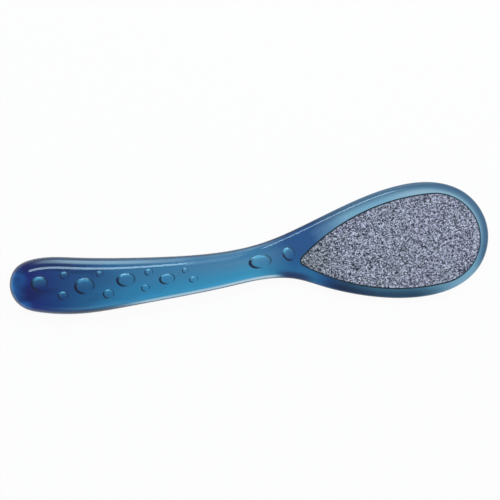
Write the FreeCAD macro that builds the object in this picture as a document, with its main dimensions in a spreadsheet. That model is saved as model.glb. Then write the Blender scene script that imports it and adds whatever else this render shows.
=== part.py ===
import FreeCAD, Part
import math
import os

import Sketcher

# Foot file: a clear moulded handle with a paddle head, and a teardrop of coated abrasive stuck
# into a shallow recess on each face of the head.
# +X points to the nose of the head, +Y across it, +Z out of the front face, which carries the
# coarse abrasive. The file lies on its rear abrasive and on the belly of its palm, both at Z zero.
# The origin is in the middle of the length and width, level with that surface.

Vector = FreeCAD.Vector
ACROSS = Vector(0, 1, 0)
ALONG = Vector(1, 0, 0)
UP = Vector(0, 0, 1)

doc = FreeCAD.newDocument("foot_file")

# Driving dimensions, in millimetres and degrees.
SIZES = [
    # Plan outline of the handle. The waist is its narrowest place.
    ("overall_length", 240.0),
    ("head_reach", 128.0),         # from the waist to the nose
    ("head_width", 57.0),
    ("waist_width", 17.5),
    ("palm_width", 28.4),
    ("butt_rise", 8.4),            # how far the butt swings out of line with the head
    # Side profile of the handle.
    ("head_thickness", 6.0),
    ("palm_height", 12.5),
    ("palm_reach", 38.0),          # from the butt to the palm's highest and lowest line
    ("butt_fall", 1.3),            # how far the top falls away at the butt
    ("butt_lift", 0.9),            # how far the underside lifts at the butt
    ("neck_height", 10.4),
    ("neck_fall", 1.6),            # how far the top falls over a palm reach where it passes the neck
    ("arch_height", 2.4),          # the space below the neck
    ("neck_lead", 6.0),            # from the waist back to the neck's place in the side profile
    ("edge_radius", 2.6),
    # Abrasive and its recess.
    ("pad_length", 90.3),
    ("rim_width", 5.8),            # beside the abrasive
    ("nose_rim", 4.5),             # beyond the abrasive, at the nose
    ("pad_widest", 62.0),          # from the tip to the widest place
    ("pad_tip_radius", 2.5),
    ("pad_shift", 1.3),            # how far the tip lies off the head's middle
    ("pad_turn", 0.35),            # degrees
    ("pad_clearance", 0.35),
    ("recess_depth", 0.6),
    ("flat_lead", 4.5),            # flat stretch of the head before the tip
    ("adhesive_thickness", 0.15),
    ("backing_thickness", 0.45),
    ("grit_thickness", 0.4),
    # Raised water drops on the front of the handle.
    ("drop_height", 0.9),
    ("neck_drop_length", 11.8),
    ("neck_drop_width", 7.0),
    ("neck_drop_reach", 20.0),     # from the abrasive's tip
    ("neck_drop_offset", 2.0),     # from the head's middle
    ("end_drop_length", 6.2),
    ("end_drop_width", 7.4),
    ("end_drop_reach", 5.2),       # from the abrasive's tip
    ("end_drop_offset", 3.4),      # from the head's middle
    ("end_drop_turn", 25.0),       # degrees
    ("overrun", 2.0),              # how far a cutting or bounding shape runs past what it meets
]

sheet = doc.addObject("Spreadsheet::Sheet", "sizes")
for row, (name, value) in enumerate(SIZES, start=1):
    sheet.set(f"A{row}", name)
    sheet.set(f"B{row}", str(value))
    sheet.setAlias(f"B{row}", name)
doc.recompute()


def size(name):
    return float(sheet.get(name))


# Places that several pieces share.
nose_x = size("overall_length") / 2
butt_x = -nose_x
waist_x = nose_x - size("head_reach")
pad_end_x = nose_x - size("nose_rim")
pad_tip_x = pad_end_x - size("pad_length")
flat_x = pad_tip_x - size("flat_lead")
stack = size("adhesive_thickness") + size("backing_thickness") + size("grit_thickness")
proud = stack - size("recess_depth")
head_base = proud
head_top = head_base + size("head_thickness")
profile_y = -size("head_width") / 2 - size("overrun")


# Plan outline of the handle.
# A grip station is a share of the way from the waist to the butt, a share of the butt's rise
# and a share of the way from the waist's half width to the palm's.
GRIP_SHARES = [
    (0.03, 0.12, 0.01),
    (0.25, 0.16, 0.26),
    (0.47, 0.32, 0.61),
    (0.70, 0.60, 1.00),
]
# A butt station is its distance from the butt as a share of the palm's width, and the same two
# shares.
BUTT_SHARES = [
    (0.49, 0.96, 0.88),
    (0.158, 1.05, 0.20),
]
# A flare station is a share of the way from the waist to the nose, and a share of the way from
# the waist's half width to the head's. The front view's upper side flares early and gently, its
# lower side late and sharply.
UPPER_FLARE_SHARES = [
    (0.13, 0.125),
    (0.29, 0.38),
    (0.48, 0.745),
    (0.69, 0.992),
]
LOWER_FLARE_SHARES = [
    (0.13, -0.08),
    (0.23, 0.04),
    (0.33, 0.34),
    (0.48, 0.725),
    (0.69, 0.992),
]
# A nose station is its distance from the nose as a share of the head's width, and the last share.
NOSE_SHARES = [
    (0.382, 0.91),
    (0.1415, 0.525),
]


def outline_points():
    """Return the points of the plan outline, clockwise from the butt, and the corners of its parts."""
    waist = size("waist_width") / 2
    palm = size("palm_width") / 2
    head = size("head_width") / 2
    rise = size("butt_rise")
    grip = [(waist_x + along * (butt_x - waist_x), centre, spread) for along, centre, spread in GRIP_SHARES]
    grip += [(butt_x + back * size("palm_width"), centre, spread) for back, centre, spread in BUTT_SHARES]
    nose = [(nose_x - back * size("head_width"), spread) for back, spread in NOSE_SHARES]

    def grip_side(side):
        return [Vector(x, centre * rise + side * (waist + spread * (palm - waist)), 0)
                for x, centre, spread in grip]

    def head_side(side, flare_shares):
        flare = [(waist_x + along * size("head_reach"), spread) for along, spread in flare_shares]
        return [Vector(x, side * (waist + spread * (head - waist)), 0) for x, spread in flare + nose]

    upper = grip_side(1)[::-1] + head_side(1, UPPER_FLARE_SHARES)
    lower = head_side(-1, LOWER_FLARE_SHARES)[::-1] + grip_side(-1)
    points = [Vector(butt_x, rise, 0)] + upper + [Vector(nose_x, 0, 0)] + lower
    return points, [0, len(grip) - 1, 1 + len(upper), len(points) - len(grip) + 1]


def plan_outline(level):
    """Return the closed outline of the handle at one height, as four edges of one smooth curve."""
    points, corners = outline_points()
    places = [Vector(point.x, point.y, level) for point in points]
    curve = Part.BSplineCurve()
    curve.interpolate(Points=places, PeriodicFlag=True)
    marks = [curve.parameter(places[corner]) for corner in corners] + [curve.LastParameter]
    return Part.Wire([curve.toShape(start, end) for start, end in zip(marks, marks[1:])])


def bezier(poles):
    curve = Part.BezierCurve()
    curve.setPoles(poles)
    return curve.toShape()


# A side curve's inner poles, as shares of its length.
EASE_SHARE = 0.36


def side_curve(start, start_slope, end, end_slope):
    """Return a curve in the side view from start to end that leaves and arrives at those slopes."""
    reach = EASE_SHARE * (end.x - start.x)
    leaving = start + Vector(reach, 0, reach * start_slope)
    arriving = end - Vector(reach, 0, reach * end_slope)
    return bezier([start, leaving, arriving, end])


def side_profile():
    """Return the handle's outline in the side view: an arched grip that runs into a flat head."""
    over = size("overrun")
    palm_x = butt_x + size("palm_reach")
    neck_x = waist_x - size("neck_lead")

    def place(x, z):
        return Vector(x, profile_y, z)

    butt_top = place(butt_x - over, size("palm_height") - size("butt_fall"))
    palm_top = place(palm_x, size("palm_height"))
    neck_top = place(neck_x, size("neck_height"))
    flat_top = place(flat_x, head_top)
    nose_top = place(nose_x + over, head_top)
    nose_base = place(nose_x + over, head_base)
    flat_base = place(flat_x, head_base)
    arch = place(neck_x, size("arch_height"))
    belly = place(palm_x, 0)
    butt_base = place(butt_x - over, size("butt_lift"))
    butt_slope = 2 * size("butt_fall") / size("palm_reach")
    lift_slope = 2 * size("butt_lift") / size("palm_reach")
    neck_slope = -size("neck_fall") / size("palm_reach")
    return Part.Wire([
        side_curve(butt_top, butt_slope, palm_top, 0),
        side_curve(palm_top, 0, neck_top, neck_slope),
        side_curve(neck_top, neck_slope, flat_top, 0),
        Part.makeLine(flat_top, nose_top),
        Part.makeLine(nose_top, nose_base),
        Part.makeLine(nose_base, flat_base),
        side_curve(flat_base, 0, arch, 0),
        side_curve(arch, 0, belly, 0),
        side_curve(belly, 0, butt_base, -lift_slope),
        Part.makeLine(butt_base, butt_top),
    ])


def shape_feature(name, shape):
    feature = doc.addObject("Part::Feature", name)
    feature.Shape = shape
    return feature


def make_block(name, outline, direction, length):
    """Make the block that an outline sweeps in one direction."""
    block = doc.addObject("Part::Extrusion", name)
    block.Base = shape_feature(f"{name}_outline", outline)
    block.DirMode = "Custom"
    block.Dir = direction
    block.setExpression("LengthFwd", length)
    block.Solid = True
    return block


# Two faces that meet flatter than this need no rounding.
SMOOTH_COSINE = 0.97


def sharp_edges(shape):
    """Return the numbers of the edges where two faces meet at an angle."""
    numbers = []
    for number, edge in enumerate(shape.Edges, start=1):
        middle = edge.valueAt((edge.FirstParameter + edge.LastParameter) / 2)
        normals = []
        for face in shape.ancestorsOfType(edge, Part.Face):
            u, v = face.Surface.parameter(middle)
            normals.append(face.normalAt(u, v))
        if len(normals) == 2 and normals[0].dot(normals[1]) < SMOOTH_COSINE:
            numbers.append(number)
    return numbers


# The most of the head's thickness that one rounded edge may take.
ROUND_SHARE = 0.46


def make_rounded_handle():
    plan = make_block(
        "plan", plan_outline(-size("overrun")), UP, "sizes.palm_height + 2 * sizes.overrun")
    side = make_block("side", side_profile(), ACROSS, "sizes.head_width + 2 * sizes.overrun")
    block = doc.addObject("Part::MultiCommon", "handle_block")
    block.Shapes = [plan, side]
    doc.recompute()
    radius = min(size("edge_radius"), ROUND_SHARE * size("head_thickness"))
    rounded = doc.addObject("Part::Fillet", "handle_rounded")
    rounded.Base = block
    rounded.Edges = [(number, radius, radius) for number in sharp_edges(block.Shape)]
    doc.recompute()
    return rounded


def teardrop_radii():
    """Return the radii of the abrasive's long side arcs and of its broad end."""
    tip = size("pad_tip_radius")
    half = size("head_width") / 2 - size("rim_width")
    before = size("pad_widest") - tip
    beyond = size("pad_length") - size("pad_widest")
    side = (before ** 2 + half ** 2 - tip ** 2) / (2 * (half - tip))
    end = (2 * side * half - half ** 2 - beyond ** 2) / (2 * (side - beyond))
    return side, end


def draw_teardrop(sketch, grow):
    """Draw the abrasive's outline, grown all round, with the abrasive's tip at the origin."""
    added = size(grow) if grow else 0
    plus = f" + sizes.{grow}" if grow else ""
    tip = size("pad_tip_radius")
    widest = size("pad_widest")
    half = size("head_width") / 2 - size("rim_width")
    side, end = teardrop_radii()
    drop = side - half
    end_x = size("pad_length") - end
    tip_angle = math.atan2(drop, tip - widest)
    end_angle = math.atan2(drop, end_x - widest)

    def arc(x, y, radius, start, finish):
        circle = Part.Circle(Vector(x, y, 0), UP, radius + added)
        return sketch.addGeometry(Part.ArcOfCircle(circle, start, finish), False)

    tip_arc = arc(tip, 0, tip, tip_angle, 2 * math.pi - tip_angle)
    upper_arc = arc(widest, -drop, side, end_angle, tip_angle)
    end_arc = arc(end_x, 0, end, -end_angle, end_angle)
    lower_arc = arc(widest, drop, side, -tip_angle, -end_angle)

    def add(name, *values):
        number = sketch.addConstraint(Sketcher.Constraint(*values))
        if name:
            sketch.renameConstraint(number, name)

    start, finish, centre = 1, 2, 3
    origin, x_axis = -1, -1
    add("", "Tangent", tip_arc, start, upper_arc, finish)
    add("", "Tangent", upper_arc, start, end_arc, finish)
    add("", "Tangent", end_arc, start, lower_arc, finish)
    add("", "Tangent", lower_arc, start, tip_arc, finish)
    add("", "PointOnObject", tip_arc, centre, x_axis)
    add("tip_place", "DistanceX", origin, 1, tip_arc, centre, tip)
    add("upper_place", "DistanceX", origin, 1, upper_arc, centre, widest)
    add("lower_place", "DistanceX", origin, 1, lower_arc, centre, widest)
    add("tip_radius", "Radius", tip_arc, tip + added)
    add("side_radius", "Radius", upper_arc, side + added)
    add("", "Equal", upper_arc, lower_arc)
    add("end_radius", "Radius", end_arc, end + added)

    tip_word = "sizes.pad_tip_radius"
    half_word = "(sizes.head_width / 2 - sizes.rim_width)"
    before_word = f"(sizes.pad_widest - {tip_word})"
    beyond_word = "(sizes.pad_length - sizes.pad_widest)"
    side_word = f"({before_word}^2 + {half_word}^2 - {tip_word}^2) / (2 * ({half_word} - {tip_word}))"
    end_rise = f"(2 * ({side_word}) * {half_word} - {half_word}^2 - {beyond_word}^2)"
    end_word = f"{end_rise} / (2 * ({side_word} - {beyond_word}))"
    sketch.setExpression("Constraints.tip_place", tip_word)
    sketch.setExpression("Constraints.upper_place", "sizes.pad_widest")
    sketch.setExpression("Constraints.lower_place", "sizes.pad_widest")
    sketch.setExpression("Constraints.tip_radius", tip_word + plus)
    sketch.setExpression("Constraints.side_radius", side_word + plus)
    sketch.setExpression("Constraints.end_radius", end_word + plus)


# The same places as expressions on the sheet. The recess floors are where the adhesive sticks.
TIP_X = "sizes.overall_length / 2 - sizes.nose_rim - sizes.pad_length"
REAR_FLOOR = "sizes.adhesive_thickness + sizes.backing_thickness + sizes.grit_thickness"
FRONT_FLOOR = f"{REAR_FLOOR} + sizes.head_thickness - 2 * sizes.recess_depth"


def place_on_head(item, height):
    """Put an item's origin at the abrasive's tip, at a height, turned with the abrasive."""
    item.Placement = FreeCAD.Placement(Vector(0, 0, 0), FreeCAD.Rotation(UP, size("pad_turn")))
    item.setExpression("Placement.Base.x", TIP_X)
    item.setExpression("Placement.Base.y", "-sizes.pad_shift")
    item.setExpression("Placement.Base.z", height)
    item.setExpression("Placement.Rotation.Angle", "sizes.pad_turn")


def make_recess(name, floor, direction):
    """Make the block that cuts one recess, from its floor outwards."""
    sketch = doc.addObject("Sketcher::SketchObject", f"{name}_outline")
    draw_teardrop(sketch, "pad_clearance")
    place_on_head(sketch, floor)
    block = doc.addObject("Part::Extrusion", name)
    block.Base = sketch
    block.DirMode = "Custom"
    block.Dir = direction
    block.setExpression("LengthFwd", "sizes.recess_depth + sizes.overrun")
    block.Solid = True
    return block


def width_at(plan, x):
    """Return the box of the plan outline's width at one place along it."""
    reach = size("head_width")
    return plan.common(Part.makeLine(Vector(x, -reach, 0), Vector(x, reach, 0))).BoundBox


def top_at(side, x):
    """Return the height of the handle's front face at one place along it."""
    highest = size("palm_height") + size("overrun")
    return side.common(Part.makeLine(Vector(x, profile_y, 0), Vector(x, profile_y, highest))).BoundBox.ZMax


def make_drop(name, x, y, side, length, width, turn):
    """Make one raised drop, seated on the front of the handle and tilted with it."""
    step = size("neck_drop_width")
    tilt = math.degrees(math.atan2(top_at(side, x - step) - top_at(side, x + step), 2 * step))
    drop = doc.addObject("Part::Ellipsoid", name)
    drop.setExpression("Radius1", "sizes.drop_height")
    drop.setExpression("Radius2", f"{length} / 2")
    drop.setExpression("Radius3", f"{width} / 2")
    lean = FreeCAD.Rotation(ACROSS, tilt)
    spin = FreeCAD.Rotation(UP, turn)
    drop.Placement = FreeCAD.Placement(Vector(x, y, top_at(side, x)), lean.multiply(spin))
    return drop


# Drops scattered on the grip: a share of the way from the waist to the butt, a share of the half
# width there, the length as a share of the way from waist to butt, and the width as a share of
# the palm's.
GRIP_DROP_SHARES = [
    (0.860, 0.08, 0.077, 0.268),
    (0.765, -0.34, 0.046, 0.162),
    (0.745, 0.36, 0.041, 0.141),
    (0.665, -0.02, 0.091, 0.296),
    (0.590, 0.40, 0.032, 0.113),
    (0.565, -0.38, 0.052, 0.176),
    (0.480, 0.10, 0.086, 0.246),
    (0.400, -0.34, 0.039, 0.134),
    (0.375, 0.34, 0.039, 0.127),
    (0.300, -0.05, 0.073, 0.197),
    (0.215, 0.26, 0.030, 0.106),
    (0.185, -0.24, 0.041, 0.120),
]


def make_drops():
    plan = Part.Face(plan_outline(0))
    side = Part.Face(side_profile())
    drops = []
    for number, (along, across, length, width) in enumerate(GRIP_DROP_SHARES, start=1):
        x = waist_x + along * (butt_x - waist_x)
        grip = width_at(plan, x)
        y = grip.Center.y + across * grip.YLength / 2
        drops.append(make_drop(
            f"grip_drop_{number}", x, y, side,
            f"{length} * (sizes.overall_length - sizes.head_reach)", f"{width} * sizes.palm_width", 0))
    for name, turn in (("neck_drop", 0), ("end_drop", size("end_drop_turn"))):
        drops.append(make_drop(
            name, pad_tip_x - size(f"{name}_reach"), size(f"{name}_offset"), side,
            f"sizes.{name}_length", f"sizes.{name}_width", turn))
    return drops


def make_handle():
    dewed = doc.addObject("Part::MultiFuse", "handle_with_drops")
    dewed.Shapes = [make_rounded_handle()] + make_drops()
    front = make_recess("front_recess", FRONT_FLOOR, UP)
    rear = make_recess("rear_recess", REAR_FLOOR, -UP)
    recesses = doc.addObject("Part::MultiFuse", "recesses")
    recesses.Shapes = [front, rear]
    handle = doc.addObject("Part::Cut", "handle")
    handle.Base = dewed
    handle.Tool = recesses
    handle.Label = "handle"
    return handle


def origin_plane(body, role):
    for feature in body.Origin.OriginFeatures:
        if feature.Role == role:
            return feature


def make_layer(name, thickness, height):
    """Make one layer of an abrasive sheet, with its lower face at a height."""
    body = doc.addObject("PartDesign::Body", name)
    body.Label = name
    sketch = body.newObject("Sketcher::SketchObject", f"{name}_outline")
    sketch.AttachmentSupport = (origin_plane(body, "XY_Plane"), [""])
    sketch.MapMode = "FlatFace"
    draw_teardrop(sketch, "")
    layer = body.newObject("PartDesign::Pad", f"{name}_layer")
    layer.Profile = sketch
    layer.setExpression("Length", f"sizes.{thickness}")
    place_on_head(body, height)
    return body


def make_layers():
    front_backing = f"{FRONT_FLOOR} + sizes.adhesive_thickness"
    front_grit = f"{front_backing} + sizes.backing_thickness"
    rear_adhesive = f"{REAR_FLOOR} - sizes.adhesive_thickness"
    return [
        make_layer("coarse_adhesive", "adhesive_thickness", FRONT_FLOOR),
        make_layer("coarse_backing", "backing_thickness", front_backing),
        make_layer("coarse_grit", "grit_thickness", front_grit),
        make_layer("fine_adhesive", "adhesive_thickness", rear_adhesive),
        make_layer("fine_backing", "backing_thickness", "sizes.grit_thickness"),
        make_layer("fine_grit", "grit_thickness", "0"),
    ]


parts = [make_handle()] + make_layers()
doc.recompute()

for item in doc.Objects:
    if "Invalid" in item.State or "Error" in item.State:
        raise RuntimeError(f"{item.Name} failed: {item.State}")
for part in parts:
    if part.Shape.isNull() or not part.Shape.isValid():
        raise RuntimeError(f"{part.Label} has no valid shape")

os.makedirs("parts", exist_ok=True)
for part in parts:
    part.Shape.exportStep(f"parts/{part.Label}.step")
    box = part.Shape.BoundBox
    print(part.Label, len(part.Shape.Solids), round(part.Shape.Volume, 1), box)
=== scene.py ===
import math
import random

import bmesh
import bpy
import numpy as np
from mathutils import Matrix, Vector, noise
from mathutils.bvhtree import BVHTree
from mathutils.kdtree import KDTree


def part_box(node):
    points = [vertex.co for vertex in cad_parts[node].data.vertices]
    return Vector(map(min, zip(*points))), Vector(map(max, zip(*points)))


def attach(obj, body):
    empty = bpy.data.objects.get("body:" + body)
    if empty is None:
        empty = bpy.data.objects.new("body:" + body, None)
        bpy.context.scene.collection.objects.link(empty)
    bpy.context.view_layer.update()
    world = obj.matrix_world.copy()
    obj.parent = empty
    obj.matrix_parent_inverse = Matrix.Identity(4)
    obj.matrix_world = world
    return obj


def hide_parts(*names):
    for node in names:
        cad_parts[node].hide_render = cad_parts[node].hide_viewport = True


bl_info = {
    "name": "Foot file",
    "version": (1, 0, 0),
    "blender": (4, 5, 0),
    "location": "3D View > Sidebar > Foot File",
    "description": "Builds a clear foot file around its packed solids",
    "category": "Object",
}

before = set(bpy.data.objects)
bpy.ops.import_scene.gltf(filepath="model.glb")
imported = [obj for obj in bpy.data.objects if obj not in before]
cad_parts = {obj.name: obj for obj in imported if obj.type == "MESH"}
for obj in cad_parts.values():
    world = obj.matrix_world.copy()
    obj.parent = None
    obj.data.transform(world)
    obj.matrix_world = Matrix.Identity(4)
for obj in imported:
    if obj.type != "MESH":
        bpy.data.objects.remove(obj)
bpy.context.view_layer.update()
handle_low, handle_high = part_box("handle")
coarse_low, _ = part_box("coarse_adhesive")
_, fine_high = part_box("fine_adhesive")

BUTT_X = handle_low.x
NOSE_X = handle_high.x
# The tip of the abrasive, and the floors of the two recesses that it lies in.
TIP_X = coarse_low.x
COARSE_FLOOR = coarse_low.z
FINE_FLOOR = fine_high.z
BODY = "root"
WHITE = (1, 1, 1)
# Points nearer than this are the same point.
TINY = 1e-6


# Sizes and colours

def length(name, description, default):
    """Describe a length in metres."""
    return bpy.props.FloatProperty(
        name=name, description=description, default=default, min=0, unit="LENGTH", precision=5)


def degrees(name, description, default):
    """Describe an angle, with its default in degrees."""
    return bpy.props.FloatProperty(
        name=name, description=description, default=math.radians(default), subtype="ANGLE")


def number(name, description, default):
    """Describe a plain number."""
    return bpy.props.FloatProperty(name=name, description=description, default=default, min=0)


def fraction(name, description, default):
    """Describe a share of the whole."""
    return bpy.props.FloatProperty(
        name=name, description=description, default=default, min=0, max=1, subtype="FACTOR")


def colour(name, description, default):
    """Describe a colour."""
    return bpy.props.FloatVectorProperty(
        name=name, description=description, default=default, size=3, min=0, max=1,
        subtype="COLOR")


class HandleSettings(bpy.types.PropertyGroup):
    waist_width: length("Waist width", "Width of the grip at its narrowest place", 0.0175)
    palm_width: length("Palm width", "Width of the grip in the palm", 0.0284)
    head_width: length("Head width", "Width of the paddle head", 0.057)
    head_reach: length("Head reach", "From the waist to the nose", 0.128)
    butt_rise: length("Butt rise", "How far the butt swings out of line with the head", 0.0084)
    palm_reach: length("Palm reach", "From the butt to the palm's highest line", 0.038)
    palm_height: length("Palm height", "Height of the palm's front above the floor", 0.0125)
    neck_height: length("Neck height", "Height of the neck's front above the floor", 0.0104)
    arch_height: length("Arch height", "Space below the neck", 0.0024)
    head_base: length("Head base", "Height of the head's rear face above the floor", 0.0004)
    head_thickness: length("Head thickness", "Thickness of the paddle head", 0.006)
    drop_height: length("Drop height", "How far the water drops stand up from the front", 0.00086)
    recess_gap: length("Recess gap", "Play between the abrasive and its recess", 0.00035)
    lip: length("Recess lip", "Rounded lip of the recess", 0.0002)
    body_tint: colour("Body", "Tint of the grip past the palm", (0.143, 0.38, 0.574))
    neck_tint: colour("Neck", "Tint of the neck", (0.19, 0.42, 0.60))
    butt_tint: colour("Butt", "Tint of the butt's end", (0.03, 0.42, 0.85))
    indigo: colour("Indigo", "Tint of the butt's middle", (0.026, 0.036, 0.26))
    # Painted shade on the lower edge where the neck flares.
    violet: colour("Flare", "Tint of the lower edge where the neck flares", (0.030, 0.036, 0.13))
    streak: colour("Streaks", "Cast of the streaks in the grip", (0.24, 0.20, 0.40))
    palm_tint: colour("Palm", "Tint of the palm", (0.060, 0.200, 0.40))
    tip_tint: colour("Tip", "Tint round the tip of the abrasive", (0.045, 0.150, 0.37))
    rim_tint: colour("Rim", "Tint of the head's rim", (0.44, 0.66, 0.80))
    # Painted light along the grip's lower side, which is as thick as its upper side.
    teal: colour("Teal", "Tint along the lower side of the grip", (0.36, 1.0, 1.0))
    low_side_light: colour("Low side", "Tint of the grip's thinner lower side", (0.12, 0.57, 0.80))
    # Painted shade of the head's rim, outwards and along its lower side, and painted light beside
    # the abrasive.
    slate: colour("Slate", "Tint of the head's lower rim", (0.25, 0.38, 0.44))
    outer_rim_shade: colour("Rim edge", "Tint of the outer part of the head's rim", (0.26, 0.34, 0.44))
    pale_rim_light: colour("Shoulder", "Pale tint of the rim beside the abrasive", (0.88, 0.90, 0.92))
    # Painted shade inside the waist's upper edge.
    waist_shade: colour("Waist", "Tint of the waist inside its upper edge", (0.55, 0.81, 0.905))
    # Painted shade along the grip's outermost edge.
    grip_edge_shade: colour("Edge", "Tint of the grip's outermost edge", (0.30, 0.26, 0.32))
    # Painted highlights in the water drops, and painted shade along their rims.
    drop_highlight: colour("Drops", "Light gathered by the water drops", (0.10, 0.60, 0.90))
    crescent_shade: colour("Drop rims", "Tint of the water drops' rims", (0.0002, 0.0006, 0.004))
    # Painted shade in the gap round the abrasive.
    recess_shade: colour("Recess", "Tint of the plastic round the abrasive", (0.006, 0.03, 0.05))
    depth_colour: colour(
        "Depth colour", "Colour that the plastic takes on as it gets thicker", (0.05, 0.54, 0.735))
    depth_strength: number(
        "Depth strength", "How fast the plastic takes on its depth colour", 120)


class AbrasiveSettings(bpy.types.PropertyGroup):
    pad_length: length("Pad length", "Length of the teardrop of abrasive", 0.0903)
    pad_widest: length("Widest place", "From the tip to the widest place", 0.062)
    pad_half_width: length("Half width", "Half the width of the abrasive", 0.0227)
    pad_tip_radius: length("Tip radius", "Rounding of the tip", 0.0025)
    pad_shift: length("Shift", "How far the tip lies off the head's middle", 0.0013)
    pad_turn: degrees("Turn", "How far the abrasive is turned on the head", 0.35)
    grain_spacing: length("Grain spacing", "Distance between grains", 0.00026)
    coarse_relief: length("Coarse relief", "How far the coarse grains stand up", 0.00026)
    fine_relief: length("Fine relief", "How far the fine grains stand up", 0.00010)
    grain_border: length("Grain border", "Bare border of the backing round the grains", 0.00030)
    bright_grain: colour("Bright grains", "Colour of single bright grains", (0.80, 0.82, 0.96))
    pale_grain: colour("Pale grains", "Colour of the pale grains", (0.345, 0.365, 0.488))
    grey_grain: colour("Grey grains", "Colour of most grains", (0.172, 0.184, 0.252))
    dark_grain: colour("Dark grains", "Colour between the grains", (0.017, 0.017, 0.032))
    lilac: colour("Lilac patches", "Cast of some patches of grains", (1.0, 0.97, 1.0))
    sage: colour("Sage patches", "Cast of the other patches of grains", (0.99, 1.0, 0.985))
    worn_grain: colour("Worn grains", "Cast of the grains near the tip", (0.45, 0.46, 0.36))
    backing: colour("Backing", "Colour of the backing", (0.02, 0.03, 0.04))
    adhesive: colour("Adhesive", "Colour of the adhesive film", (0.52, 0.56, 0.62))


class StageSettings(bpy.types.PropertyGroup):
    picture_width: length("Picture width", "Width of the view at the object", 0.249)
    focus: bpy.props.FloatVectorProperty(
        name="Focus", description="Middle of the view", default=(0.00117, 0.00852, 0.006), size=3,
        subtype="TRANSLATION")
    roll: degrees("Roll", "How far the head rises to the right", 9.36)
    lens: bpy.props.FloatProperty(name="Lens", description="Focal length", default=120, min=20)
    key_power: number("Key lamp", "Power of the soft box", 3.5)
    strip_power: number("Strip lamp", "Power of the narrow strip", 1.6)
    sky: number("Sky", "Light from all around", 0.35)
    bright_sky: number("Bright sky", "Light from behind the upper edge", 1.5)
    backdrop_share: fraction("Backdrop", "Share of the floor that shows plain white", 0.95)
    through_share: fraction(
        "Backdrop through plastic", "The same share as seen through the plastic", 0.8)


# Shader nodes

class Amount:
    """A number that varies over a surface. Arithmetic on it adds Math nodes."""

    def __init__(self, finish, socket):
        self.finish = finish
        self.socket = socket

    def math(self, operation, first, second):
        return self.finish.amount(
            "ShaderNodeMath", {"operation": operation}, {0: first, 1: second}, 0)

    def __add__(self, other):
        return self.math("ADD", self, other)

    __radd__ = __add__

    def __sub__(self, other):
        return self.math("SUBTRACT", self, other)

    def __rsub__(self, other):
        return self.math("SUBTRACT", other, self)

    def __mul__(self, other):
        return self.math("MULTIPLY", self, other)

    __rmul__ = __mul__


class Finish:
    """The nodes of a material or of the sky, under construction."""

    def __init__(self, owner):
        self.owner = owner
        owner.use_nodes = True
        self.tree = owner.node_tree
        self.tree.nodes.clear()

    def node(self, kind, settings=None, values=None):
        """Add a node, with its settings first and then its sockets' values or links."""
        node = self.tree.nodes.new(kind)
        for name, value in (settings or {}).items():
            if name == "stops":
                self.set_stops(node.color_ramp, value)
            else:
                setattr(node, name, value)
        for name, value in (values or {}).items():
            socket = node.inputs[name]
            if isinstance(value, Amount):
                value = value.socket
            if isinstance(value, bpy.types.NodeSocket):
                self.tree.links.new(value, socket)
            elif socket.type == "RGBA":
                socket.default_value = (*value, 1)
            else:
                socket.default_value = value
        return node

    @staticmethod
    def set_stops(ramp, stops):
        while len(ramp.elements) < len(stops):
            ramp.elements.new(1)
        for element, (position, shade) in zip(ramp.elements, stops):
            element.position = position
            element.color = (*shade, 1)

    def amount(self, kind, settings, values, output):
        """Add a node and return one of its outputs as a number that varies."""
        return Amount(self, self.node(kind, settings, values).outputs[output])

    def place(self):
        return self.node("ShaderNodeTexCoord").outputs["Object"]

    def speckle(self, scale, detail=2.0, roughness=0.5, distortion=0.0, place=None):
        """Return a cloudy noise with features of about 1 / scale metres."""
        return self.amount("ShaderNodeTexNoise", {"noise_dimensions": "3D"}, {
            "Vector": self.place() if place is None else place, "Scale": scale,
            "Detail": detail, "Roughness": roughness, "Distortion": distortion}, "Fac")

    def streaks(self, stretch, scale):
        """Return a swirling noise that is stretched along X."""
        place = self.node("ShaderNodeVectorMath", {"operation": "MULTIPLY"}, {
            0: self.place(), 1: (1 / stretch, 1, 1)}).outputs[0]
        return self.speckle(scale, distortion=0.6, place=place)

    def along(self):
        """Return how far a place is from the butt to the nose, from 0 to 1."""
        x = self.amount("ShaderNodeSeparateXYZ", {}, {"Vector": self.place()}, "X")
        return (x - BUTT_X) * (1 / (NOSE_X - BUTT_X))

    def stored(self, name):
        """Return a value that the mesh stores."""
        return self.amount("ShaderNodeAttribute", {"attribute_name": name}, {}, "Fac")

    def ray(self, kind):
        """Return 1 for rays of a kind and 0 for others."""
        return self.amount("ShaderNodeLightPath", {}, {}, f"Is {kind} Ray")

    def eased(self, amount, start, end):
        """Return a share that eases from 0 to 1 as an amount goes from start to end."""
        return self.amount("ShaderNodeMapRange", {"interpolation_type": "SMOOTHSTEP"}, {
            "Value": amount, "From Min": start, "From Max": end}, "Result")

    def within(self, amount, start, full, fading, gone):
        """Return a share that eases up from start to full and down from fading to gone."""
        return self.eased(amount, start, full) * self.eased(amount, gone, fading)

    def ramp(self, amount, stops):
        return self.node("ShaderNodeValToRGB", {"stops": stops}, {"Fac": amount}).outputs["Color"]

    def mix(self, share, first, second, blend="MIX"):
        """Mix two colours."""
        return self.node("ShaderNodeMix", {"data_type": "RGBA", "blend_type": blend}, {
            0: share, 6: first, 7: second}).outputs[2]

    def bump(self, height, strength, distance):
        return self.node("ShaderNodeBump", {}, {
            "Height": height, "Strength": strength, "Distance": distance}).outputs["Normal"]

    def principled(self, values):
        return self.node("ShaderNodeBsdfPrincipled", {}, values).outputs[0]

    def mix_shaders(self, share, first, second):
        return self.node("ShaderNodeMixShader", {}, {
            0: share, 1: first.outputs[0], 2: second.outputs[0]}).outputs[0]

    def output(self, surface, volume=None):
        """Join the shaders to the output and return the finished material."""
        shaders = {"Surface": surface} if volume is None else {
            "Surface": surface, "Volume": volume}
        self.node("ShaderNodeOutputMaterial", {}, shaders)
        return self.owner


def new_finish(name):
    return Finish(bpy.data.materials.new(name))


# Finishes

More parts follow.
